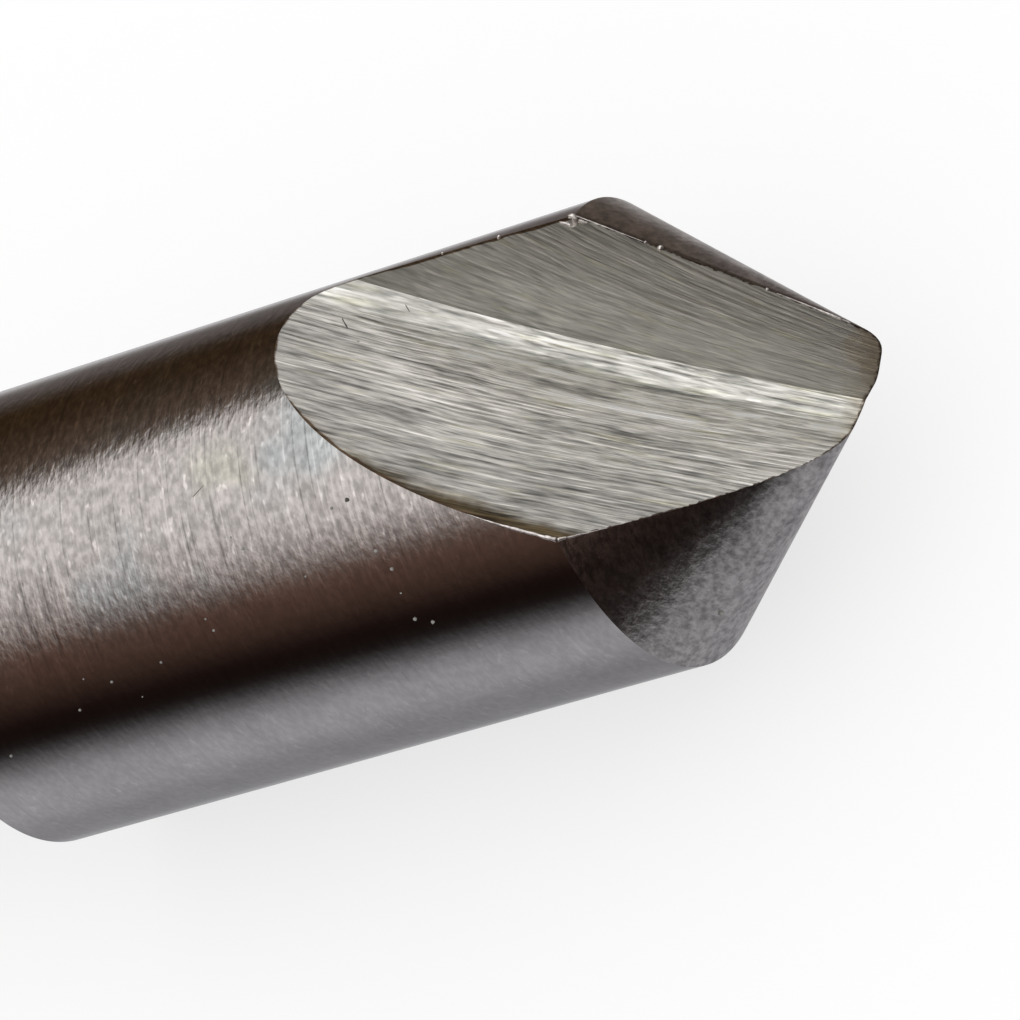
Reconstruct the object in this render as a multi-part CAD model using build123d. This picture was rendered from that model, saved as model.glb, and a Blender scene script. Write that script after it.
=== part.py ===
from build123d import *
import os
from math import acos, atan2, cos, degrees, hypot, radians, sin, sqrt, tan

# Single-flute countersink bit, ground from one bar of tool steel.
#
# Millimetres and degrees. The tool's axis is the X axis and its point looks along +X. It lies on
# the side of its body, with the flute up, as it comes to rest on a bench. The origin is on the
# axis, where the straight wall of the shank starts behind the body. A turn is an angle about the
# axis, measured from +Y towards +Z, which is the way the tool turns when it cuts.

# Shank: a plain round, with a chamfer to lead it into a chuck and a radius where it meets the body
shank_diameter = 6.35
shank_length = 23.2
shank_chamfer = 0.5
shank_root_radius = 0.4

# Body: its length runs from the rear face to the outer corner of the cutting edge
body_diameter = 12.7
body_length = 21.3
body_rear_edge_radius = 0.1

# Point: the included angle of the hole that it cuts, and the blunt nose that is left at the tip
point_angle = 82.0
nose_radius = 1.3

# Relief: behind the cutting edge the whole point falls back along the axis, evenly with the turn.
# The cut that makes it stops and starts in the open flute, and leaves a thin core on the axis,
# which the flute takes away.
relief_per_turn = 1.65
relief_overrun = 20.0
relief_sweep = 310.0
relief_core_radius = 0.12

# Flute: the mark of one square-cornered grinding wheel. The wheel's flat side leaves the face in
# front of the cutting edge, its rim leaves the sloping floor and its corner the small radius
# between them. The wheel is set by the point of its rim that comes nearest to the shank side:
# that point's distance behind the cutting edge's outer corner, its height above the axis along
# the face, and how far the face lies beyond the centre there.
wheel_diameter = 200.0
wheel_width = 20.0
wheel_corner_radius = 0.53
flute_setback = 2.84
floor_height = 2.62
face_past_centre = 1.42
face_turn = 57.5
face_lean = 6.3
floor_slope = 31.5

# Stock and cutter allowance past the finished surfaces
cut_margin = 1.5

# Stations along the axis
rear_face_x = shank_root_radius
edge_corner_x = rear_face_x + body_length
shank_end_x = rear_face_x - shank_length

shank_radius = shank_diameter / 2
body_radius = body_diameter / 2
wheel_radius = wheel_diameter / 2
half_angle = radians(point_angle / 2)
apex_x = edge_corner_x + body_radius / tan(half_angle)


def nearest_corner(sketch, x, radius):
    """The vertex of a half section at station x and the given radius."""
    return sketch.vertices().sort_by_distance((x, radius, 0))[0]


def turned_bar():
    """Shank and body as they leave the lathe, with the point still a full cylinder."""
    with BuildPart() as bar:
        with BuildSketch(Plane.XY) as half_section:
            with BuildLine():
                Polyline(
                    (shank_end_x, 0),
                    (shank_end_x, shank_radius),
                    (rear_face_x, shank_radius),
                    (rear_face_x, body_radius),
                    (apex_x, body_radius),
                    (apex_x, 0),
                    close=True,
                )
            make_face()
            chamfer(nearest_corner(half_section, shank_end_x, shank_radius), shank_chamfer)
            fillet(nearest_corner(half_section, rear_face_x, shank_radius), shank_root_radius)
            fillet(nearest_corner(half_section, rear_face_x, body_radius), body_rear_edge_radius)
        revolve(axis=Axis.X)
    return bar.part


def wheel_plane():
    """The flat side of the flute wheel: x along the floor, y up off it and z out of the face."""
    across = Location((edge_corner_x - flute_setback, 0, 0), (face_turn, 0, 0))
    on_face = Location((0, floor_height, -face_past_centre), (0, -face_lean, 0))
    along_floor = Location((0, 0, 0), (0, 0, -floor_slope))
    return Plane(across * on_face * along_floor)


def flute_wheel():
    """The grinding wheel, standing where it stops when the flute is finished."""
    side = wheel_plane()
    with BuildPart() as wheel:
        with BuildSketch(side):
            with Locations((0, wheel_radius)):
                Circle(wheel_radius)
        extrude(amount=wheel_width)
        rims = wheel.edges().filter_by(GeomType.CIRCLE).group_by(Axis(side.origin, side.z_dir))
        fillet(rims[0], wheel_corner_radius)
    return wheel.part


def cutting_edge_turn():
    """The turn at which the face meets the surface of the body, at the edge's outer corner."""
    side = wheel_plane()
    normal = side.z_dir
    offset = side.origin.dot(normal) - edge_corner_x * normal.X
    reach = body_radius * hypot(normal.Y, normal.Z)
    return degrees(atan2(normal.Z, normal.Y) - acos(offset / reach))


def relief_section():
    """Half section of what the relief grinding takes off, at the turn of the cutting edge."""
    outer = body_radius + cut_margin
    front_x = apex_x + cut_margin
    nose_centre_x = apex_x - nose_radius / sin(half_angle)

    def nose(radius):
        return (nose_centre_x + sqrt(nose_radius**2 - radius**2), radius)

    nose_end = nose(nose_radius * cos(half_angle))
    nose_start = nose(relief_core_radius)
    nose_middle = nose((nose_end[1] + relief_core_radius) / 2)
    cone_start = (apex_x - outer / tan(half_angle), outer)
    with BuildSketch(Plane.XY) as section:
        with BuildLine():
            Line(cone_start, nose_end)
            ThreePointArc(nose_end, nose_middle, nose_start)
            Polyline(nose_start, (front_x, relief_core_radius), (front_x, outer), cone_start)
        make_face()
    return section.sketch


def relief_cut():
    """The relief grinding: the half section carried round the axis on a slow helix."""
    edge_turn = cutting_edge_turn()
    start_turn = edge_turn + relief_overrun - relief_sweep
    start_x = relief_per_turn * (start_turn - edge_turn) / 360
    start = Location((start_x, 0, 0), (start_turn, 0, 0))
    # A helix starts on +Z, a quarter turn on from the section on +Y
    path = Helix(
        pitch=relief_per_turn,
        height=relief_per_turn * relief_sweep / 360,
        radius=body_radius,
        direction=(1, 0, 0),
    ).rotate(Axis.X, -90)
    return sweep(relief_section().moved(start), path=path.moved(start), is_frenet=True)


def countersink_bit():
    return turned_bar() - relief_cut() - flute_wheel()


os.makedirs("parts", exist_ok=True)
export_step(countersink_bit(), "parts/countersink_bit.step")
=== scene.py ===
# %% [markdown]
# # A single-flute countersink bit
# A countersink bit is one bar of tool steel: a thin round shank, a thick round body and a cone
# that cuts a seat for a screw head. One deep notch, the flute, gives the cone its cutting edge.
# The imported CAD model says how big everything is and where it lies. It is loaded first, and it
# is hidden once the ground steel stands in for it.

import random
from math import acos, asin, atan2, cos, degrees, hypot, pi, radians, sin, tan

import bmesh
import bpy
from mathutils import Matrix, Vector, noise


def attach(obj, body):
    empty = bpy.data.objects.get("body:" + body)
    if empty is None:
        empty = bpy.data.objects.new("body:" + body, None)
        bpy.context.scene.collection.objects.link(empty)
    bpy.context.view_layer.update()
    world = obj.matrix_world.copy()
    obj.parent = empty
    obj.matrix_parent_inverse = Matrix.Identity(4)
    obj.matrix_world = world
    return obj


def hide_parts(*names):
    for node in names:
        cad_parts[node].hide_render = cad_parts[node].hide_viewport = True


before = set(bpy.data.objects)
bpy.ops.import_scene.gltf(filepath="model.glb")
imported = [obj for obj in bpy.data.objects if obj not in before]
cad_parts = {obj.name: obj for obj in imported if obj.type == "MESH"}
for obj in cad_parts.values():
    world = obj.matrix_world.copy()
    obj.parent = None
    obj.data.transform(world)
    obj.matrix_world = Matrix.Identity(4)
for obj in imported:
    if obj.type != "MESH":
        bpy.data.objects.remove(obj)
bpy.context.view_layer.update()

# %% [markdown]
# ## Sizes
# Blender works in metres, but a tool this small is easier to read in millimetres. Everything
# below is made in millimetres and shrunk once, at the end. The axis of the tool is the X axis
# and the point looks along +X. The sizes are the ones that the tool is ground to.

# %% Name the sizes of the tool
MM = 0.001

shank_radius = 6.35 / 2
shank_length = 23.2
shank_chamfer = 0.5
shank_root_radius = 0.4
body_radius = 12.7 / 2
body_length = 21.3
body_rear_edge_radius = 0.1
half_angle = radians(82.0 / 2)
nose_radius = 1.3

rear_face_x = shank_root_radius
edge_corner_x = rear_face_x + body_length
shank_end_x = rear_face_x - shank_length
apex_x = edge_corner_x + body_radius / tan(half_angle)
print("sharp apex would be at", round(apex_x, 3), "mm")

# %% [markdown]
# ## The turned bar
# Everything on this tool is turned or ground, so every shape starts as an outline that is carried
# round an axis. A few helpers come first. Rounded corners are short arcs in the outline.


# %% Helpers for outlines and meshes
def arc(centre, radius, start, stop, segments):
    """Points along an arc in the plane of the outline, angles in degrees from the axis."""
    points = []
    for i in range(segments + 1):
        angle = radians(start + (stop - start) * i / segments)
        points.append((centre[0] + radius * cos(angle), centre[1] + radius * sin(angle)))
    return points


def chain_of_edges(bm, points):
    """Joins points, given as (along the axis, out from it), with edges."""
    verts = [bm.verts.new((x, r, 0)) for x, r in points]
    edges = [bm.edges.new(pair) for pair in zip(verts, verts[1:])]
    return verts, edges


def close_and_turn_out(bm):
    """Merges doubled points, then makes every face look outwards."""
    bmesh.ops.remove_doubles(bm, verts=bm.verts, dist=1e-5)
    bmesh.ops.recalc_face_normals(bm, faces=bm.faces)


def new_object(name, bm, *materials):
    """Puts a bmesh into a new object at the origin."""
    mesh = bpy.data.meshes.new(name)
    bm.to_mesh(mesh)
    bm.free()
    for material in materials:
        mesh.materials.append(material)
    piece = bpy.data.objects.new(name, mesh)
    bpy.context.scene.collection.objects.link(piece)
    return piece


# %% [markdown]
# The bar comes off a lathe, so it is a solid of revolution. Half of its outline is drawn as a
# chain of edges from the middle of one end to the middle of the other, and the chain is spun a
# full turn about the axis. The steps of the spin are fine, because polished metal shows every
# facet as a kink in its reflections.

# %% Spin the shank and the body
bar_outline = [(shank_end_x, 0), (shank_end_x, shank_radius - shank_chamfer)]
bar_outline += [(shank_end_x + shank_chamfer, shank_radius)]
bar_outline += arc((0, shank_radius + shank_root_radius), shank_root_radius, -90, 0, 10)
rear_edge = (rear_face_x + body_rear_edge_radius, body_radius - body_rear_edge_radius)
bar_outline += arc(rear_edge, body_rear_edge_radius, 180, 90, 6)
bar_outline += [(apex_x, body_radius), (apex_x, 0)]

bar_steps = 384
bar_bm = bmesh.new()
outline_verts, outline_edges = chain_of_edges(bar_bm, bar_outline)
bmesh.ops.spin(
    bar_bm,
    geom=outline_verts + outline_edges,
    cent=(0, 0, 0),
    axis=(1, 0, 0),
    angle=2 * pi,
    steps=bar_steps,
    use_merge=True,
)
close_and_turn_out(bar_bm)
print("bar:", len(bar_bm.faces), "faces")

# %% [markdown]
# ## Materials, by name
# Each surface of the tool is ground in its own way, so each has its own material. Here they are
# only named. A Boolean modifier can pass on the material of the piece that cuts, so the cutters
# carry the materials of the surfaces that they leave behind.

# %% Name the ground surfaces
ground_body = bpy.data.materials.new("ground_body")
ground_point = bpy.data.materials.new("ground_point")
ground_face = bpy.data.materials.new("ground_face")
ground_fold = bpy.data.materials.new("ground_fold")
ground_floor = bpy.data.materials.new("ground_floor")
for material in (ground_body, ground_point, ground_face, ground_fold, ground_floor):
    material.use_nodes = True

bit = new_object("countersink_steel", bar_bm, ground_body)
print("materials:", [material.name for material in bpy.data.materials])

# %% [markdown]
# ## The flute wheel
# The flute is the mark of one big grinding wheel with a square corner. Its flat side leaves the
# face in front of the cutting edge, its rim leaves the sloping floor, and its worn corner leaves
# the small radius between them. The wheel is set against the tool by three tilts, each about an
# axis that the one before has moved, as a setter would turn the work head of a grinder.

# %% Set the wheel against the bar
wheel_radius = 100.0
wheel_width = 20.0
corner_flat_tilt = radians(38)
corner_flat_length = 0.39
corner_round_radius = 0.55
flute_setback = 2.84
floor_height = 2.62
face_past_centre = 1.42
face_turn = radians(57.5)
face_lean = radians(6.3)
floor_slope = radians(31.5)

across = Matrix.Translation((edge_corner_x - flute_setback, 0, 0))
across = across @ Matrix.Rotation(face_turn, 4, "X")
on_face = Matrix.Translation((0, floor_height, -face_past_centre))
on_face = on_face @ Matrix.Rotation(-face_lean, 4, "Y")
wheel_side = across @ on_face @ Matrix.Rotation(-floor_slope, 4, "Z")
wheel_centre = wheel_side @ Vector((0, wheel_radius, 0))
along_floor = wheel_side.col[0].xyz
off_floor = wheel_side.col[1].xyz
off_face = wheel_side.col[2].xyz
print("wheel centre:", [round(c, 3) for c in wheel_centre])
print("out of the face:", [round(c, 4) for c in off_face])

# %% [markdown]
# A cutter is a filled outline, carried round an axis as a solid. The outline can slide a little
# along the axis on each step, which gives a screw instead of a ring.


# %% Helpers for the cutters
def spin_section(outline, axis, centre, angle, steps, slide=(0, 0, 0)):
    """A closed outline of 3-D points, filled and carried round an axis as a solid."""
    bm = bmesh.new()
    verts = [bm.verts.new(point) for point in outline]
    face = bm.faces.new(verts)
    bmesh.ops.spin(
        bm,
        geom=[face, *face.edges, *face.verts],
        cent=centre,
        axis=axis,
        angle=angle,
        steps=steps,
        dvec=slide,
    )
    close_and_turn_out(bm)
    return bm


def at_wheel(out_of_face, from_axis):
    """A point of the wheel's section, straight down from its centre, in the tool's frame."""
    return wheel_side @ Vector((0, wheel_radius - from_axis, out_of_face))


# %% [markdown]
# Only the part of the wheel that reaches the bar is needed. Its section is drawn upright, in a
# plane through the wheel's own axis: the flat side, the worn corner, the rim and a way back
# through the air. Spinning it a few degrees to each side gives a wedge of the wheel. Each face of
# the wedge gets the material of the surface that it will leave: the flat side that of the face,
# the corner that of the fold, and the rim that of the floor.

# %% Make the wedge of the wheel
wedge_reach = 15.0
wedge_half_angle = radians(10)
corner_round_start = corner_flat_length * sin(corner_flat_tilt)
corner_depth = corner_round_start + corner_round_radius * cos(corner_flat_tilt)
corner_height = corner_flat_length * cos(corner_flat_tilt)
corner_height += corner_round_radius * (1 - sin(corner_flat_tilt))
wheel_outline = [(0, wheel_radius - wedge_reach), (0, wheel_radius - corner_height)]
round_centre = (corner_depth, wheel_radius - corner_round_radius)
wheel_outline += arc(round_centre, corner_round_radius, 180 - degrees(corner_flat_tilt), 90, 18)
wheel_outline += [(wheel_width, wheel_radius), (wheel_width, wheel_radius - wedge_reach)]

turn_back = Matrix.Translation(wheel_centre)
turn_back = turn_back @ Matrix.Rotation(-wedge_half_angle, 4, off_face)
turn_back = turn_back @ Matrix.Translation(-wheel_centre)
wheel_points = [turn_back @ at_wheel(*point) for point in wheel_outline]
wheel_bm = spin_section(wheel_points, off_face, wheel_centre, 2 * wedge_half_angle, 80)
for face in wheel_bm.faces:
    out_of_face = (wheel_side.inverted() @ face.calc_center_median()).z
    if out_of_face < 1e-4:
        face.material_index = 0
    elif out_of_face < corner_depth:
        face.material_index = 1
    else:
        face.material_index = 2
print("wheel wedge:", len(wheel_bm.faces), "faces, volume", round(wheel_bm.calc_volume()))
wheel_wedge = new_object("wheel_wedge", wheel_bm, ground_face, ground_fold, ground_floor)

# %% [markdown]
# ## The relief
# Behind its cutting edge the cone has to fall away, or it would rub and never cut. On this tool
# the whole point sinks back along the axis as it goes round. So the shape that the relief
# grinding takes off is not a plain ring: its section slides a little along the axis on every
# step of the spin, like a very slow screw. The slide begins and ends inside the open flute.

# %% Make the relief cutter
relief_per_turn = 1.65
relief_overrun = 20.0
relief_sweep = 310.0
relief_core_radius = 0.12
cut_margin = 1.5

side_offset = wheel_side.translation.dot(off_face) - edge_corner_x * off_face.x
side_reach = body_radius * hypot(off_face.y, off_face.z)
edge_turn = degrees(atan2(off_face.z, off_face.y) - acos(side_offset / side_reach))
print("cutting edge meets the body at", round(edge_turn, 2), "degrees")

outer = body_radius + cut_margin
front_x = apex_x + cut_margin
nose_centre = (apex_x - nose_radius / sin(half_angle), 0)
core_angle = degrees(asin(relief_core_radius / nose_radius))
relief_outline = [(apex_x - outer / tan(half_angle), outer)]
relief_outline += arc(nose_centre, nose_radius, 90 - degrees(half_angle), core_angle, 24)
relief_outline += [(front_x, relief_core_radius), (front_x, outer)]

start_turn = edge_turn + relief_overrun - relief_sweep
start_x = relief_per_turn * (start_turn - edge_turn) / 360
start_place = Matrix.Translation((start_x, 0, 0)) @ Matrix.Rotation(radians(start_turn), 4, "X")
relief_points = [start_place @ Vector((x, r, 0)) for x, r in relief_outline]
relief_steps = 310
relief_slide = relief_per_turn * relief_sweep / 360 / relief_steps
relief_bm = spin_section(
    relief_points,
    (1, 0, 0),
    (0, 0, 0),
    radians(relief_sweep),
    relief_steps,
    (relief_slide, 0, 0),
)
print("relief:", len(relief_bm.faces), "faces, volume", round(relief_bm.calc_volume(), 1))
relief = new_object("relief", relief_bm, ground_point)

# %% [markdown]
# ## Grinding
# The two cutters are taken off the bar with Boolean modifiers, the relief first and the flute
# last, which is also the order in a grinding shop. The result is read back as a plain mesh and
# the cutters are thrown away.


# %% Grind the point and the flute
def cut(piece, cutter):
    """Takes a cutter off a piece, with the cutter's material on the new surface."""
    step = piece.modifiers.new("cut", "BOOLEAN")
    step.operation = "DIFFERENCE"
    step.solver = "EXACT"
    step.material_mode = "TRANSFER"
    step.object = cutter


def bake_modifiers(piece):
    """Replaces a piece's mesh by what its modifiers make of it."""
    bpy.context.view_layer.update()
    seen = piece.evaluated_get(bpy.context.evaluated_depsgraph_get())
    made = bpy.data.meshes.new_from_object(seen)
    piece.modifiers.clear()
    piece.data = made


cut(bit, relief)
cut(bit, wheel_wedge)
bake_modifiers(bit)
for cutter in (relief, wheel_wedge):
    bpy.data.objects.remove(cutter)
print("ground:", len(bit.data.polygons), "faces", [m.name for m in bit.data.materials])

# %% [markdown]
# A Boolean leaves slivers where a cut passes close to a corner of the mesh. Merging points that
# are a thousandth of a millimetre apart clears them. The faces are then shaded smooth, and only
# the edges that turn by more than 25 degrees stay sharp. Last comes the step from millimetres to
# metres, done to the mesh itself, so that the object stays unscaled at the origin.


# %% Clean the mesh, shade it and shrink it to metres
sharp_angle = radians(25)
sliver_size = 1e-3


def finish_mesh(piece):
    """Merges slivers, sets smooth and sharp, scales to metres and hangs the piece on the body."""
    bm = bmesh.new()
    bm.from_mesh(piece.data)
    bmesh.ops.remove_doubles(bm, verts=bm.verts, dist=sliver_size)
    bmesh.ops.dissolve_degenerate(bm, edges=bm.edges, dist=sliver_size)
    bmesh.ops.recalc_face_normals(bm, faces=bm.faces)
    bmesh.ops.scale(bm, vec=(MM, MM, MM), verts=bm.verts)
    for face in bm.faces:
        face.smooth = True
    for edge in bm.edges:
        edge.smooth = edge.calc_face_angle(0) < sharp_angle
    bm.to_mesh(piece.data)
    bm.free()
    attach(piece, "root")


finish_mesh(bit)
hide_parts("countersink_bit")
print("finished:", len(bit.data.vertices), "points,", len(bit.data.polygons), "faces")

# %% [markdown]
# ## Finishes
# Ground steel is a mirror covered in fine parallel scratches. Its colour is the colour of what
# it reflects, a little darker and warmer. So every finish here is a metal, and the scratches are
# stretched noise that tilts the surface and changes its tone. A small class in three parts keeps
# the node work readable: each method adds a node or a few and gives back the output. The first
# part does the sums: it reads the place on the object, and adds, multiplies, eases and mixes.


# %% A helper that builds nodes
class Nodes:
    """Adds nodes to a tree. Each method returns the socket that comes out."""

    def __init__(self, tree):
        self.tree = tree

    def node(self, kind, **settings):
        made = self.tree.nodes.new(kind)
        for name, value in settings.items():
            setattr(made, name, value)
        return made

    def plug(self, source, socket):
        """Joins a socket to a node's output, or sets it to a plain value."""
        if isinstance(source, bpy.types.NodeSocket):
            self.tree.links.new(source, socket)
        else:
            socket.default_value = source

    def place(self):
        return self.node("ShaderNodeTexCoord").outputs["Object"]

    def math(self, operation, a, b=0.0):
        maths = self.node("ShaderNodeMath", operation=operation)
        self.plug(a, maths.inputs[0])
        self.plug(b, maths.inputs[1])
        return maths.outputs[0]

    def length(self, a, b):
        """The long side of a right-angled triangle."""
        return self.math("SQRT", self.total(self.product(a, a), self.product(b, b)))

    def vector_math(self, operation, a, b=(0, 0, 0)):
        maths = self.node("ShaderNodeVectorMath", operation=operation)
        self.plug(a, maths.inputs[0])
        self.plug(b, maths.inputs[1])
        return maths

    def along(self, vector, direction):
        """How far a vector reaches along a direction."""
        return self.vector_math("DOT_PRODUCT", vector, tuple(direction)).outputs["Value"]

    def mapped(self, vector, scale=(1, 1, 1), location=(0, 0, 0)):
        mapping = self.node("ShaderNodeMapping")
        self.plug(vector, mapping.inputs["Vector"])
        mapping.inputs["Location"].default_value = location
        mapping.inputs["Scale"].default_value = scale
        return mapping.outputs["Vector"]

    def total(self, *terms):
        """The sum of several numbers."""
        result = terms[0]
        for term in terms[1:]:
            result = self.math("ADD", result, term)
        return result

    def product(self, *factors):
        """Several numbers multiplied together."""
        result = factors[0]
        for factor in factors[1:]:
            result = self.math("MULTIPLY", result, factor)
        return result

    def ramp(self, value, start, stop, low=0.0, high=1.0):
        """Eases from low to high while the value goes from start to stop."""
        ramp = self.node("ShaderNodeMapRange", interpolation_type="SMOOTHSTEP")
        self.plug(value, ramp.inputs["Value"])
        self.plug(start, ramp.inputs["From Min"])
        self.plug(stop, ramp.inputs["From Max"])
        self.plug(low, ramp.inputs["To Min"])
        self.plug(high, ramp.inputs["To Max"])
        return ramp.outputs["Result"]

    def mix(self, share, a, b):
        """Colour a, moved to colour b by a share from 0 to 1."""
        mix = self.node("ShaderNodeMix", data_type="RGBA")
        self.plug(share, mix.inputs["Factor"])
        for source, socket in ((a, mix.inputs["A"]), (b, mix.inputs["B"])):
            self.plug((*source, 1) if isinstance(source, tuple) else source, socket)
        return mix.outputs["Result"]


# %% [markdown]
# The next part makes patterns. Noise that is squeezed along one axis and stretched along another
# turns into scratches. A crystal pattern with a spot in the middle of some cells gives pits.


# %% A helper that makes patterns
class Patterns(Nodes):
    """Noise and spots, made with nodes."""

    def noise(self, vector, stretch, detail=2.0, roughness=0.5):
        """Noise with so many waves per metre along each axis."""
        waves = self.node("ShaderNodeTexNoise")
        self.plug(self.mapped(vector, scale=stretch), waves.inputs["Vector"])
        waves.inputs["Scale"].default_value = 1.0
        waves.inputs["Detail"].default_value = detail
        waves.inputs["Roughness"].default_value = roughness
        return waves.outputs["Fac"]

    def swing(self, vector, stretch, amount, detail=2.0):
        """Noise as a signed number that swings by so much to each side of nought."""
        return self.ramp(self.noise(vector, stretch, detail), 0.28, 0.72, -amount, amount)

    def spots(self, vector, per_metre, radius, share):
        """A few round spots: one cell in so many of a crystal pattern holds one at its middle."""
        cells = self.node("ShaderNodeTexVoronoi")
        self.plug(vector, cells.inputs["Vector"])
        cells.inputs["Scale"].default_value = per_metre
        colour = self.node("ShaderNodeSeparateColor")
        self.plug(cells.outputs["Color"], colour.inputs["Color"])
        chosen = self.math("LESS_THAN", colour.outputs["Red"], share)
        size = self.product(colour.outputs["Green"], radius * per_metre)
        inside = self.ramp(cells.outputs["Distance"], size, self.product(size, 0.5))
        return self.product(inside, chosen)


# %% [markdown]
# The last part stands for one kind of ground steel. It adds what every finish ends with: a
# colour, a bump, and the direction of the scratches, which pulls the highlights out sideways.


# %% One kind of ground steel
class Finish(Patterns):
    """The nodes of one kind of ground steel."""

    def __init__(self, material, roughness, anisotropy):
        super().__init__(material.node_tree)
        self.shader = self.tree.nodes["Principled BSDF"]
        self.shader.inputs["Metallic"].default_value = 1.0
        self.shader.inputs["Roughness"].default_value = roughness
        self.shader.inputs["Anisotropic"].default_value = anisotropy

    def colour(self, tone, light=1.0):
        """Paints the surface in a tone, made lighter or darker by a factor."""
        shade = self.vector_math("SCALE", tone)
        self.plug(light, shade.inputs["Scale"])
        self.plug(shade.outputs["Vector"], self.shader.inputs["Base Color"])

    def scratched_along(self, direction):
        """Points the long side of the highlights across the scratches."""
        self.plug(direction, self.shader.inputs["Tangent"])

    def bump(self, height, distance):
        """Tilts the surface by a height of so many metres."""
        bump = self.node("ShaderNodeBump")
        bump.inputs["Distance"].default_value = distance
        self.plug(height, bump.inputs["Height"])
        self.plug(bump.outputs["Normal"], self.shader.inputs["Normal"])


# %% [markdown]
# Patterns that follow the grinding need the frame of the grinding. The flute's marks are worked
# out in the wheel's own frame: along the cut, down from its axis, and out of the face. Dirt and
# wear gather along edges, so two more helpers give the distance from the tool's axis and the
# depth below the ground point, whose surface sinks along the axis as it goes round.


# %% Helpers that follow the grinding
def wheel_frame(ground):
    """The place as three sockets: along the cut, height off the floor, out of the face."""
    place = ground.vector_math("SUBTRACT", ground.place(), tuple(wheel_centre * MM))
    place = place.outputs["Vector"]
    forward = ground.along(place, along_floor)
    down = ground.along(place, -off_floor)
    out = ground.along(place, off_face)
    turn = ground.product(ground.math("ARCTAN2", forward, down), wheel_radius * MM)
    height = ground.math("SUBTRACT", wheel_radius * MM, ground.length(forward, down))
    return turn, height, out


def joined(ground, *sockets):
    """Three numbers as one vector."""
    vector = ground.node("ShaderNodeCombineXYZ")
    for source, socket in zip(sockets, vector.inputs):
        ground.plug(source, socket)
    return vector.outputs[0]


def axis_frame(ground):
    """The distance from the axis, the angle behind the edge and the depth below the point."""
    parts = ground.node("ShaderNodeSeparateXYZ")
    ground.plug(ground.place(), parts.inputs[0])
    x, y, z = parts.outputs
    radius = ground.length(y, z)
    behind = ground.math("SUBTRACT", radians(edge_turn), ground.math("ARCTAN2", z, y))
    behind = ground.math("FLOORED_MODULO", behind, 2 * pi)
    unsunk = ground.total(x, ground.product(behind, relief_per_turn * MM / (2 * pi)))
    below_tip = ground.math("SUBTRACT", apex_x * MM, unsunk)
    in_cone = ground.product(below_tip, sin(half_angle))
    in_cone = ground.math("SUBTRACT", in_cone, ground.product(radius, cos(half_angle)))
    ahead = ground.math("SUBTRACT", unsunk, nose_centre[0] * MM)
    in_nose = ground.math("SUBTRACT", nose_radius * MM, ground.length(ahead, radius))
    ahead = ground.product(ahead, 1 / tan(half_angle))
    by_nose = ground.math("GREATER_THAN", ahead, radius)
    depth = ground.ramp(by_nose, 0.0, 1.0, in_cone, in_nose)
    return radius, behind, depth


# %% [markdown]
# The body is ground while it turns. Its scratches are short dashes that run round it, so the
# noise has many waves along the axis and few round it. A few long rings and bright ticks stand
# out. The scratches are strongest on the upper side, where the tool is handled and rubbed, and
# fade on the flanks. Slow noise adds the faint pink, blue and cream clouds of handled steel.

# %% Finish of the body
pink_steel = (0.526, 0.495, 0.485)
blue_steel = (0.480, 0.502, 0.512)
cream_steel = (0.530, 0.512, 0.460)
flank_steel = (0.515, 0.503, 0.506)
flank_share = 0.3

body = Finish(ground_body, 0.16, 0.2)
place = body.place()
upper = body.ramp(body.along(place, (0, 0, 1)), 0.0040, 0.0058)
dashes = body.noise(place, (6200, 3300, 3300), 3.0)
rings = body.noise(place, (7000, 160, 160), 2.0)
ticks = body.noise(place, (6200, 2600, 2600), 1.0)
clouds = body.noise(place, (230, 230, 230), 3.0)
creams = body.noise(body.mapped(place, location=(0.3, 0.1, 0)), (260, 260, 260), 2.0)
blots = body.swing(place, (900, 900, 900), 0.05, 3.0)
pits = body.spots(place, 420, 0.00006, 0.5)

tone = body.mix(body.ramp(clouds, 0.42, 0.58), pink_steel, blue_steel)
tone = body.mix(body.ramp(creams, 0.60, 0.72), tone, cream_steel)
tone = body.mix(upper, flank_steel, tone)
light = body.total(
    body.ramp(dashes, 0.28, 0.75, -0.28, 0.24),
    body.ramp(ticks, 0.64, 0.76, 0.0, 0.45),
    body.ramp(rings, 0.60, 0.70, 0.0, 0.25),
    body.ramp(rings, 0.39, 0.29, 0.0, -0.30),
)
light = body.product(light, body.ramp(upper, 0.0, 1.0, flank_share, 1.0))
light = body.total(light, blots, 1.0)
body.colour(tone, body.product(light, body.ramp(pits, 0.0, 1.0, 1.0, 0.3)))
height = body.total(dashes, body.product(rings, 0.25))
body.bump(body.product(height, body.ramp(upper, 0.0, 1.0, 0.25, 1.0)), 11e-6)
print("body finish:", len(body.tree.nodes), "nodes")
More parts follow.
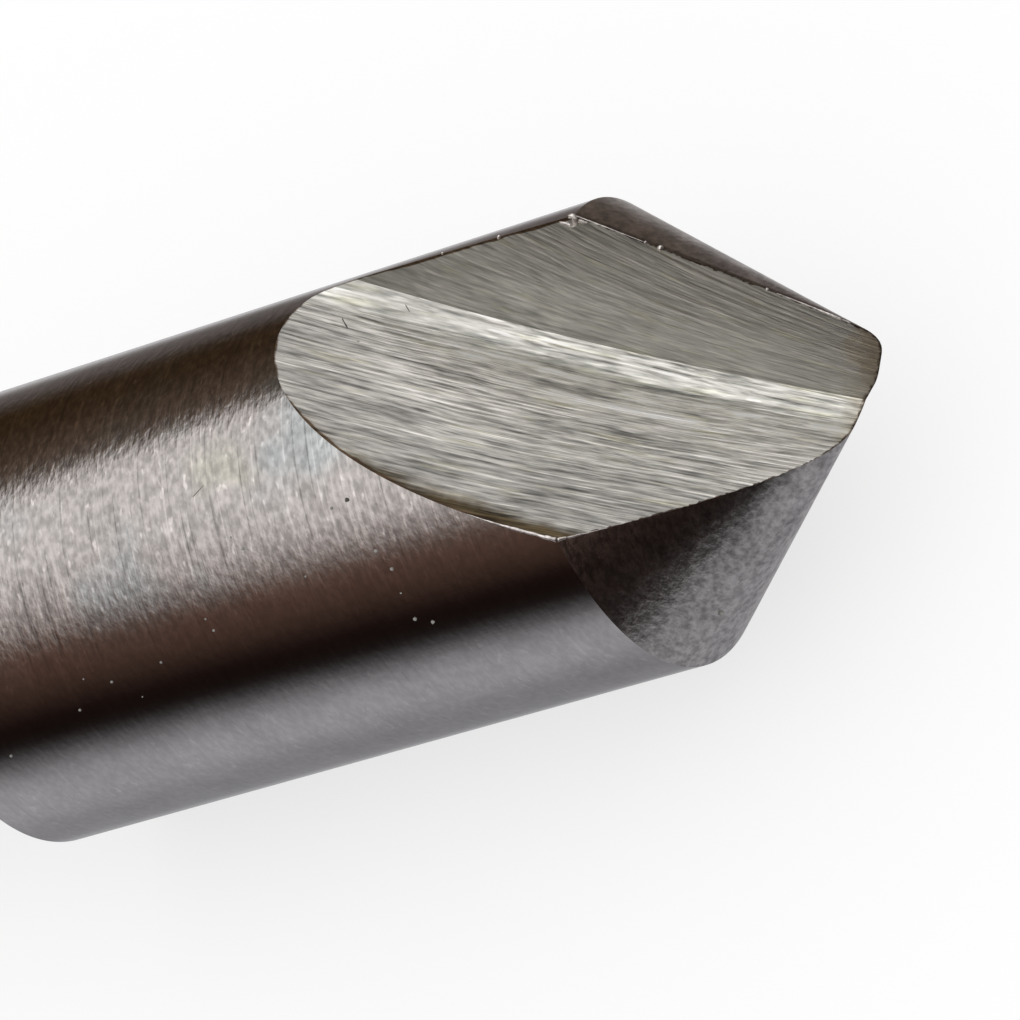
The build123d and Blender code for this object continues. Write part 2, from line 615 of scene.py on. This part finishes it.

# %% [markdown]
# The point is ground on the relief, with a finer wheel. Its marks also run round the axis, but
# they are woollier, and brushed over by handling. Just behind the cutting edge its tone is darker
# and browner, most towards the outside, and dirt has stayed in the narrow seam where it meets the
# flute's face.

# %% Finish of the point
point = Finish(ground_point, 0.28, 0.0)
place = point.place()
wool = point.noise(place, (6500, 3000, 3000), 4.0, 0.6)
blots = point.swing(place, (1200, 900, 900), 0.14, 3.0)
light = point.total(point.ramp(wool, 0.28, 0.72, -0.36, 0.36), blots, 1.0)
_, _, out = wheel_frame(point)
radius, behind, _ = axis_frame(point)
dirty = point.product(point.ramp(out, -0.00028, -0.00010), point.ramp(out, 0.0001, 0.0))
# darker, browner tone behind the cutting edge, strongest towards the outside
brown_behind_edge = point.ramp(point.total(behind, blots), radians(48), radians(12))
brown_behind_edge = point.product(brown_behind_edge, point.ramp(radius, 0.0025, 0.0052, 0.3, 1.0))
tone = point.mix(brown_behind_edge, (0.65, 0.633, 0.622), (0.36, 0.305, 0.255))
point.colour(point.mix(dirty, tone, (0.16, 0.13, 0.10)), light)
point.bump(wool, 22e-6)
print("point finish:", len(point.tree.nodes), "nodes")

# %% [markdown]
# The flute is ground last, in one deep pass of a coarse wheel, and is left bright and coarse.
# The pattern is worked out in the wheel's own frame: along the cut, down from its axis, and out
# of the face. On the floor every grain of the rim has drawn a line that wavers a little. On the
# face the wheel was fed in as it cut, so the scratches fan out, away from the fold. Lines of
# several widths are laid over each other: fine and broad ones everywhere, a few bright and deep
# ones, and short patches where the wheel chattered.


# %% Scratches along the cut
fan = 80.0
drift = 0.05
waver_width = 0.00004


def place_in_cut(ground, turn, height, out, fineness):
    """A place whose first axis runs along the scratches, for noise to be stretched on."""
    spread = ground.math("EXPONENT", ground.product(turn, fan))
    waver = ground.swing(ground.place(), (300, 300, 300), waver_width, 1.0)
    fanned_height = ground.total(ground.product(height, spread), waver)
    drifted_out = ground.total(out, ground.product(turn, drift), waver)
    place = joined(ground, turn, fanned_height, drifted_out)
    return ground.mapped(place, scale=(fineness, fineness, fineness))


def scratches(ground, cut_place, contrast):
    """Lines of several widths along the cut, as a height and as a factor of light."""
    fine = ground.noise(cut_place, (330, 6300, 6300), 3.0)
    broad = ground.noise(cut_place, (100, 3000, 3000), 2.0)
    patches = ground.swing(cut_place, (240, 1300, 1300), 0.35 * contrast, 3.0)
    bright = ground.ramp(ground.noise(cut_place, (260, 5600, 5600), 1.0), 0.62, 0.70)
    deep = ground.ramp(ground.noise(cut_place, (200, 5500, 5500), 1.0), 0.37, 0.30)
    short = ground.swing(cut_place, (900, 6000, 6000), 1.1 * contrast, 2.0)
    light = ground.total(
        ground.ramp(fine, 0.3, 0.7, -contrast, contrast),
        ground.ramp(broad, 0.3, 0.7, -contrast, contrast),
        ground.product(bright, 2.1 * contrast),
        ground.product(deep, -1.1 * contrast),
        patches,
        short,
        1.0,
    )
    pits = ground.spots(ground.place(), 700, 0.00007, 0.4)
    light = ground.product(light, ground.ramp(pits, 0.0, 1.0, 1.0, 0.5))
    return ground.total(fine, ground.product(broad, 2.2)), light


# %% [markdown]
# The flute isn't equally bright all over, and this is painted into its tone as painted highlight
# and painted shade. The floor is painted brightest near the fold and darkest at its lower edge.
# The change is ragged, because it runs along the scratches.


# %% Painted light that changes across the flute
def painted_light_across(ground, turn, out, cut_place, painted_at_fold, painted_near, painted_far, painted_at_tip):
    """A factor of painted highlight and shade: right at the fold, near it, far from it, and at the
    tip.
    """
    streaks = ground.swing(cut_place, (110, 2400, 2400), 0.0004)
    from_fold = ground.total(out, streaks)
    fold_painted_light = ground.ramp(from_fold, 0.0019, 0.0006, 1.0, painted_at_fold)
    near_painted_light = ground.ramp(turn, -0.0055, -0.0025, 0.9, painted_near)
    far_painted_light = ground.ramp(turn, -0.0055, -0.0025, 0.9, painted_far)
    floor_painted_light = ground.ramp(from_fold, 0.0015, 0.0062, near_painted_light, far_painted_light)
    tip_painted_light = ground.ramp(turn, 0.003, 0.008, 1.0, painted_at_tip)
    return ground.product(fold_painted_light, floor_painted_light, tip_painted_light)


# %% [markdown]
# Marks gather along the edges. A brown belt runs along the lower edge of the floor, with a darker
# line right on the rim. The tip is stained yellow-brown. The edge against the point is chipped and
# worn dark in places. Each mark is a colour mixed in over a distance from its edge, and smeared
# with a little noise.


# %% Stains and wear along the edges
belt_brown = (0.150, 0.112, 0.062)
rim_brown = (0.12, 0.080, 0.050)
tip_brown = (0.42, 0.36, 0.26)
worn_dark = (0.09, 0.065, 0.05)


def stained(ground, tone, turn, out):
    """The tone of the steel with the stains of the flute's edges over it."""
    place = ground.place()
    radius, _, below_point = axis_frame(ground)
    smear = ground.swing(place, (1500, 1500, 1500), 0.0001)

    # a brown belt along the floor's lower edge, and below, a darker line on the rim
    belt_edge = ground.ramp(turn, -0.0060, 0.0008, 0.00628, 0.00567)
    reach = ground.math("SUBTRACT", ground.total(radius, smear), belt_edge)
    belt = ground.product(
        ground.ramp(reach, -0.00010, 0.00050),
        ground.ramp(turn, 0.0037, 0.0031),
        ground.ramp(out, 0.004, 0.0055),
    )
    tone = ground.mix(belt, tone, belt_brown)

    rim_edge = ground.ramp(turn, -0.0065, -0.0030, 0.00633, 0.00626)
    reach = ground.total(radius, ground.product(smear, 0.25))
    rim = ground.ramp(ground.math("SUBTRACT", reach, rim_edge), -0.00001, 0.00003)
    tone = ground.mix(rim, tone, rim_brown)

    tip = ground.total(turn, ground.product(smear, 3.0))
    tone = ground.mix(ground.ramp(tip, 0.0081, 0.0091, 0.0, 0.8), tone, tip_brown)

    chips = ground.swing(place, (7000, 7000, 7000), 0.00003, 1.0)
    worn_in = ground.ramp(turn, 0.0080, 0.0088, 0.00004, 0.00010)
    worn = ground.ramp(ground.total(below_point, chips), worn_in, 0.00001)
    return ground.mix(worn, tone, worn_dark)


# %% [markdown]
# One function puts the whole finish of the flute together. A creamy tint in patches comes on top.


# %% The finish of one surface of the flute
def flute_finish(
    material,
    roughness,
    anisotropy,
    tone,
    contrast,
    depth,
    fineness,
    painted_at_fold=1.0,
    painted_near=1.0,
    painted_far=1.0,
    painted_at_tip=1.0,
):
    """Scratches along the cut, painted highlight and shade across it, and marks along the edges.
    """
    ground = Finish(material, roughness, anisotropy)
    turn, height, out = wheel_frame(ground)
    cut_place = place_in_cut(ground, turn, height, out, fineness)
    relief_height, light = scratches(ground, cut_place, contrast)
    # The tone is scaled by place across the flute: painted highlight and painted shade.
    painted_light = painted_light_across(ground, turn, out, cut_place, painted_at_fold, painted_near, painted_far, painted_at_tip)

    cream = ground.ramp(ground.noise(cut_place, (300, 2500, 2500), 2.0), 0.55, 0.75)
    creamy = tuple(c * f for c, f in zip(tone, (1.06, 1.05, 0.93)))
    tone = stained(ground, ground.mix(cream, tone, creamy), turn, out)
    ground.colour(tone, ground.product(light, painted_light))
    ground.bump(relief_height, depth)
    ground.scratched_along(tuple(along_floor))
    print(material.name, "finish:", len(ground.tree.nodes), "nodes")


# %% [markdown]
# The three surfaces of the flute differ in how rough and how bright they are, and part of that
# brightness is painted highlight and painted shade. The face is cut by the flat side of the wheel
# and has the finest scratches. The fold is narrow and shiny, and its much lighter tone is a
# painted highlight. The floor is cut by the rim and has the boldest ones.

# %% Finish the face, the fold and the floor
flute_finish(
    ground_face,
    roughness=0.5,
    anisotropy=0.7,
    tone=(0.515, 0.515, 0.494),
    contrast=0.13,
    depth=10e-6,
    fineness=1.9,
    # painted shade towards the tip of the face
    painted_at_tip=0.92,
)
flute_finish(
    ground_fold,
    roughness=0.36,
    anisotropy=0.5,
    # a much lighter tone than the face and floor: painted highlight on the fold
    tone=(0.775, 0.775, 0.735),
    contrast=0.24,
    depth=20e-6,
    fineness=1.6,
    # painted shade over the fold
    painted_at_fold=0.82,
)
flute_finish(
    ground_floor,
    roughness=0.42,
    anisotropy=0.6,
    tone=(0.555, 0.545, 0.52),
    contrast=0.25,
    depth=24e-6,
    fineness=1.6,
    # painted highlight by the fold and painted shade at the floor's lower edge
    painted_at_fold=1.22,
    painted_near=1.30,
    painted_far=0.70,
)

# %% [markdown]
# ## Burrs
# Where the wheel runs out of the steel it leaves a feather of turned-over metal, the burr. It
# sits on the seam of two ground surfaces, so the seams are read from the finished mesh first:
# each is made of the edges that have one surface on the left and the other on the right.


# %% Find the edges of the flute
def seam(kind_a, kind_b, from_x, to_x):
    """The points, in metres, where two ground surfaces meet, in order along the axis."""
    kinds = [material.name for material in bit.data.materials]
    pair = {kinds.index(kind_a), kinds.index(kind_b)}
    bm = bmesh.new()
    bm.from_mesh(bit.data)
    found = set()
    for edge in bm.edges:
        if {face.material_index for face in edge.link_faces} == pair:
            found.update(vert.co.to_tuple(9) for vert in edge.verts)
    bm.free()
    return [Vector(p) for p in sorted(found) if from_x * MM < p[0] < to_x * MM]


runs_out = seam("ground_floor", "ground_body", 18.2, 20.6)
lower_edge = seam("ground_floor", "ground_point", 20.4, 21.6)
cutting_edge = seam("ground_face", "ground_point", 21.7, 27.6)
cutting_edge = [p for p in cutting_edge if p.z > 0.3 * MM]
back_edge = seam("ground_face", "ground_body", 16.5, 21.2)
seams = (runs_out, lower_edge, cutting_edge, back_edge)
print("points on the seams:", [len(points) for points in seams])

# %% [markdown]
# A burr is drawn as a curve with a round section. It is cut into short steps, and at each step
# noise moves it a little aside and makes it thicker or thinner. The noise is given a seed first,
# because without one it would move the steps differently on every run.


# %% A helper that draws a thread
seed = 12
thread_step = 0.04
noise.seed_set(seed)


def thread(points, widths):
    """A wandering thread through some points, in a mesh of its own, sizes in millimetres."""
    data = bpy.data.curves.new("thread", "CURVE")
    data.dimensions = "3D"
    data.bevel_depth = 1.0
    data.bevel_resolution = 2
    data.use_fill_caps = True
    places = []
    for start, end in zip(points, points[1:]):
        count = max(1, round((end - start).length / (thread_step * MM)))
        places += [start.lerp(end, i / count) for i in range(count)]
    line = data.splines.new("POLY")
    line.points.add(len(places) - 1)
    for i, (spot, place) in enumerate(zip(line.points, places)):
        share = i / len(places) * (len(widths) - 1)
        low = int(share)
        width = widths[low] + (widths[low + 1] - widths[low]) * (share - low)
        ragged = 1 + 0.5 * noise.noise(place * 6000)
        spot.co = (*(place + noise.noise_vector(place * 4000) * width * 0.2 * MM), 1)
        spot.radius = width * ragged / 2 * MM
    curve = bpy.data.objects.new("thread", data)
    bpy.context.scene.collection.objects.link(curve)
    bpy.context.view_layer.update()
    mesh = bpy.data.meshes.new_from_object(curve)
    bpy.data.objects.remove(curve)
    return mesh


# %% [markdown]
# Small things like these are joined into one mesh, which rides on the body of the tool. Two more
# helpers say where things are: in the flute by the wheel's frame, or on the round of the body.


# %% Helpers for small pieces and their places
def one_piece(name, meshes, material):
    """Several small meshes as one piece that rides on the body."""
    bm = bmesh.new()
    for mesh in meshes:
        bm.from_mesh(mesh)
    bmesh.ops.remove_doubles(bm, verts=bm.verts, dist=1e-8)
    bmesh.ops.recalc_face_normals(bm, faces=bm.faces)
    for face in bm.faces:
        face.smooth = True
    piece = new_object(name, bm, material)
    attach(piece, "root")
    print(name, len(piece.data.polygons), "faces")


def in_cut(along, up, out):
    """A point in the flute, in mm along the cut, up from its floor and out of its face."""
    angle = along / wheel_radius
    reach = wheel_radius - up
    place = Vector((reach * sin(angle), wheel_radius - reach * cos(angle), out))
    return wheel_side @ place * MM


def on_body(x, turn):
    """A point on the round of the body, from millimetres along it and degrees about its axis."""
    return Vector((x, body_radius * cos(radians(turn)), body_radius * sin(radians(turn)))) * MM


# %% [markdown]
# The burr is thickest where the floor runs out into the body and the point. The cutting edge has
# a thin one at both ends and none in the middle. At the upper corner of the flute, where three
# surfaces meet, a short curl of metal still hangs on.

# %% Lay the threads along the edges of the flute
burr_steel = bpy.data.materials.new("burr_steel")
burr_steel.use_nodes = True
burr = Finish(burr_steel, 0.45, 0.0)
glitter = burr.swing(burr.place(), (9000, 9000, 9000), 0.3)
burr.colour((0.80, 0.765, 0.75), burr.total(glitter, 1.0))

first_stretch = [p for p in cutting_edge if p.x < 23.3 * MM]
near_tip = [p for p in cutting_edge if p.x > 25.9 * MM]
curl = [(0.15, 4.27), (0.33, 4.27), (0.48, 4.24), (0.60, 4.36)]
curl += [(0.62, 4.50), (0.50, 4.57), (0.36, 4.50)]
curl = [in_cut(along, up, 0.02) for along, up in curl]
root_of_curl = [in_cut(0.58, 4.44, 0.0), in_cut(1.0, 4.45, 0.0)]
threads = [
    thread(runs_out, (0.01, 0.05, 0.09, 0.12)),
    thread(lower_edge, (0.10, 0.05, 0.03, 0.01)),
    thread(first_stretch, (0.03, 0.03, 0.02, 0.01)),
    thread(near_tip, (0.01, 0.02, 0.03, 0.05, 0.06, 0.02)),
    thread(curl, (0.06, 0.13, 0.16, 0.15, 0.10)),
    thread(root_of_curl, (0.16, 0.04)),
]
one_piece("edge_burr", threads, burr_steel)

# %% [markdown]
# ## Grit and nicks
# A tool from the grinder is never quite clean. A grain is a small ball that noise has pushed out
# of shape. Bright grains of steel sit on the edges of the flute.


# %% Put bright grains on the edges
def grain(place, size):
    """One lumpy grain at a point, in a mesh of its own, size in millimetres."""
    bm = bmesh.new()
    bmesh.ops.create_icosphere(bm, subdivisions=2, radius=size / 2 * MM)
    for vert in bm.verts:
        vert.co *= 1 + 0.35 * noise.noise((vert.co + place) * 30 / (size * 10 * MM))
    bmesh.ops.translate(bm, vec=place, verts=bm.verts)
    mesh = bpy.data.meshes.new("grain")
    bm.to_mesh(mesh)
    bm.free()
    return mesh


def nearest(points, x):
    """The point of a seam that is nearest to a place along the axis, in millimetres."""
    return min(points, key=lambda p: abs(p.x - x * MM))


bright = [(cutting_edge, 23.1, 0.09), (cutting_edge, 23.45, 0.16), (cutting_edge, 25.7, 0.10)]
bright += [(back_edge, 17.4, 0.07), (back_edge, 19.4, 0.12)]
one_piece("bright_grit", [grain(nearest(line, x), size) for line, x, size in bright], burr_steel)

# %% [markdown]
# Pale dust lies on the dark flank of the body: a few larger grains, and many fine ones scattered
# at random. Dirt sits in a few dark nicks, which are short threads, and as one grain near the
# top of the body. Both kinds are dull and speckled.


# %% Scatter the dust and the dirt
dust_count = 18


def speckled(name, dark, pale):
    """A dull material with two tones mixed in tiny spots."""
    material = bpy.data.materials.new(name)
    material.use_nodes = True
    nodes = Patterns(material.node_tree)
    shader = nodes.tree.nodes["Principled BSDF"]
    shader.inputs["Roughness"].default_value = 0.85
    spots = nodes.noise(nodes.place(), (9000, 9000, 9000))
    nodes.plug(nodes.mix(spots, dark, pale), shader.inputs["Base Color"])
    return material


chance = random.Random(seed)
dust = [grain(Vector((22.06, -5.02, -1.42)) * MM, 0.15)]
for x, turn in ((11.72, 117.5), (15.46, 127.0), (15.70, 132.2), (15.65, 146.0), (16.07, 148.1)):
    dust.append(grain(on_body(x, turn), 0.10))
for _ in range(dust_count):
    place = on_body(chance.uniform(1, 16), chance.uniform(112, 152))
    dust.append(grain(place, chance.uniform(0.04, 0.09)))
one_piece("pale_dust", dust, speckled("dust", (0.10, 0.095, 0.09), (0.34, 0.33, 0.31)))

nicks = [
    thread([in_cut(-5.45, 0, 1.1), in_cut(-5.15, 0, 1.45)], (0.02, 0.045, 0.02)),
    thread([in_cut(-4.1, 0.36, 0.1), in_cut(-3.8, 0.15, 0.28)], (0.015, 0.035, 0.015)),
    thread([in_cut(-0.1, 0.36, 0.08), in_cut(-0.1, 0.2, 0.2)], (0.02, 0.04, 0.02)),
    thread([on_body(10.95, 99.9), on_body(10.53, 102.1)], (0.01, 0.03, 0.01)),
    grain(on_body(15.1, 113.5), 0.12),
]
one_piece("dark_grit", nicks, speckled("grit", (0.02, 0.017, 0.015), (0.09, 0.08, 0.07)))

# %% [markdown]
# ## The table and the light
# The table is white card, and it takes the soft shadow of the tool. Where the camera sees it, a
# share of plain white is mixed in, so that it stays pale in the shadow. The steel doesn't
# reflect it: the tent that comes later has a panel for the light from below.

# %% Lay the table
bench_z = -body_radius * MM
white_share = 0.7
table_bm = bmesh.new()
bmesh.ops.create_circle(table_bm, cap_ends=True, segments=128, radius=3.0)
bmesh.ops.translate(table_bm, vec=(0, 0, bench_z), verts=table_bm.verts)
table_paint = bpy.data.materials.new("table_paint")
table_paint.use_nodes = True
table_shader = table_paint.node_tree.nodes["Principled BSDF"]
table_shader.inputs["Base Color"].default_value = (0.93, 0.93, 0.93, 1)
table_shader.inputs["Roughness"].default_value = 1.0
table_shader.inputs["Specular IOR Level"].default_value = 0.0
card = Nodes(table_paint.node_tree)
rays = card.node("ShaderNodeLightPath").outputs
seen = card.total(rays["Is Camera Ray"], rays["Is Glossy Ray"], rays["Is Transmission Ray"])
white = card.node("ShaderNodeEmission")
blend = card.node("ShaderNodeMixShader")
card.plug(card.product(seen, white_share), blend.inputs[0])
card.plug(table_shader.outputs[0], blend.inputs[1])
card.plug(white.outputs[0], blend.inputs[2])
card.plug(blend.outputs[0], card.tree.nodes["Material Output"].inputs["Surface"])
table = new_object("table", table_bm, table_paint)
table.visible_glossy = False
print("table at", round(bench_z / MM, 2), "mm")

# %% [markdown]
# A large lamp overhead and the white world light the table, at a level where white card comes
# out just white.

# %% Hang the lamp
world = bpy.data.worlds.new("studio")
bpy.context.scene.world = world
world.use_nodes = True
world.node_tree.nodes["Background"].inputs["Color"].default_value = (1, 1, 1, 1)
world.node_tree.nodes["Background"].inputs["Strength"].default_value = 1.0

lamp_data = bpy.data.lights.new("soft_lamp", "AREA")
lamp_data.shape = "DISK"
lamp_data.size = 1.5
lamp_data.energy = 2.0
lamp = bpy.data.objects.new("soft_lamp", lamp_data)
lamp.location = (0, 0, 1.2)
lamp.visible_glossy = False
bpy.context.scene.collection.objects.link(lamp)
print("lamp", lamp_data.size, "m across,", round(lamp.location.z - bench_z, 3), "m over the table")

# %% [markdown]
# ## The tent
# A metal part shows its surroundings, so lighting it means building them. The tool lies in a
# round tent of dark brown cloth, a big ball that only reflections can see. The pattern of the
# cloth depends only on the direction in which a reflection leaves the steel. It has soft white
# panels: one overhead with a brighter bulb behind it, one low down where the white table shows,
# and one at the side, like a window. Each is a patch with a soft rim, given by how far round
# from its middle a direction lies. The cloth gets paler upwards. Low down it is darkest on the
# camera's side, and a haze lightens it on the far side.

# %% Sew the panels into the cloth
tent_cloth = bpy.data.materials.new("tent_cloth")
tent_cloth.use_nodes = True
tent_cloth.node_tree.nodes.remove(tent_cloth.node_tree.nodes["Principled BSDF"])


def toward(azimuth, elevation):
    """A direction, from degrees round from +X towards +Y and degrees above the horizon."""
    a, e = radians(azimuth), radians(elevation)
    return Vector((cos(a) * cos(e), sin(a) * cos(e), sin(e)))


cloth = Nodes(tent_cloth.node_tree)
direction = cloth.vector_math("NORMALIZE", cloth.place()).outputs["Vector"]
height = cloth.along(direction, (0, 0, 1))
side = cloth.along(direction, (0, 1, 0))

far_side = cloth.ramp(side, -0.4, 0.4)
sky_from = cloth.ramp(far_side, 0, 1, 0.52, 0.57)
sky_to = cloth.ramp(far_side, 0, 1, 0.90, 0.69)
sky = cloth.ramp(height, sky_from, sky_to)
window = cloth.ramp(cloth.along(direction, toward(70, 25)), 0.80, 0.90)
bulb = cloth.ramp(cloth.along(direction, toward(45, 68)), 0.92, 0.99)
sheet_from = cloth.ramp(far_side, 0, 1, 0.41, 0.42)
sheet_to = cloth.ramp(far_side, 0, 1, 0.80, 0.72)
sheet = cloth.ramp(cloth.along(direction, toward(-145, -67)), sheet_from, sheet_to)

brown_low = cloth.mix(far_side, (0.010, 0.005, 0.004), (0.045, 0.025, 0.011))
brown_high = cloth.mix(far_side, (0.14, 0.077, 0.056), (0.11, 0.075, 0.052))
brown = cloth.mix(cloth.ramp(height, 0.05, 0.60), brown_low, brown_high)
haze = cloth.product(cloth.ramp(height, -0.10, -0.42), far_side)
brown = cloth.mix(haze, brown, (0.15, 0.128, 0.12))
near_sheet = cloth.mix(cloth.ramp(height, -0.88, -0.60), (0.31, 0.305, 0.32), (0.51, 0.505, 0.52))
sheet_light = cloth.mix(cloth.ramp(side, 0.08, 0.60), near_sheet, (0.80, 0.79, 0.80))
light = cloth.mix(cloth.math("MAXIMUM", sky, window), brown, (1.0, 0.98, 0.96))
light = cloth.mix(bulb, light, (1.35, 1.33, 1.28))
light = cloth.mix(sheet, light, sheet_light)
glow = cloth.node("ShaderNodeEmission")
cloth.plug(light, glow.inputs["Color"])
cloth.plug(glow.outputs[0], cloth.tree.nodes["Material Output"].inputs["Surface"])
print("cloth:", len(cloth.tree.nodes), "nodes")

# %% [markdown]
# The ball is large beside the tool, so the whole tool sees nearly the same tent. It casts no
# shadow and throws no light on the table.

# %% Put up the tent
tent_radius = 2.0
tent_bm = bmesh.new()
bmesh.ops.create_uvsphere(tent_bm, u_segments=64, v_segments=32, radius=tent_radius)
tent = new_object("tent", tent_bm, tent_cloth)
tent.visible_camera = False
tent.visible_diffuse = False
tent.visible_shadow = False
print("tent", 2 * tent_radius, "m across")

# %% [markdown]
# ## The camera
# The camera stands well back with a long lens. It looks down at the point of the tool and is
# rolled about its own line of sight, so that the tool rises to the right across the picture.

# %% Set the camera
camera_azimuth = radians(46.443)
camera_elevation = radians(51.770)
camera_roll = radians(56.12)
camera_distance = 150.03
aim = Vector((16.389, -0.801, -0.435))

back = Vector((sin(camera_azimuth), -cos(camera_azimuth), tan(camera_elevation))).normalized()
level_right = Vector((cos(camera_azimuth), sin(camera_azimuth), 0))
level_up = back.cross(level_right)
right = cos(camera_roll) * level_right - sin(camera_roll) * level_up
up = cos(camera_roll) * level_up + sin(camera_roll) * level_right

camera_data = bpy.data.cameras.new("camera")
camera_data.sensor_width = 36.0
camera_data.lens = 196.53
camera_data.clip_start = 0.01
camera_data.clip_end = 10.0
camera = bpy.data.objects.new("camera", camera_data)
stand = Matrix.Translation((aim + back * camera_distance) * MM)
camera.matrix_world = stand @ Matrix((right, up, back)).transposed().to_4x4()
bpy.context.scene.collection.objects.link(camera)
bpy.context.scene.camera = camera
bpy.context.scene.view_settings.view_transform = "Standard"
print("camera at", [round(c / MM, 2) for c in camera.matrix_world.translation], "mm")
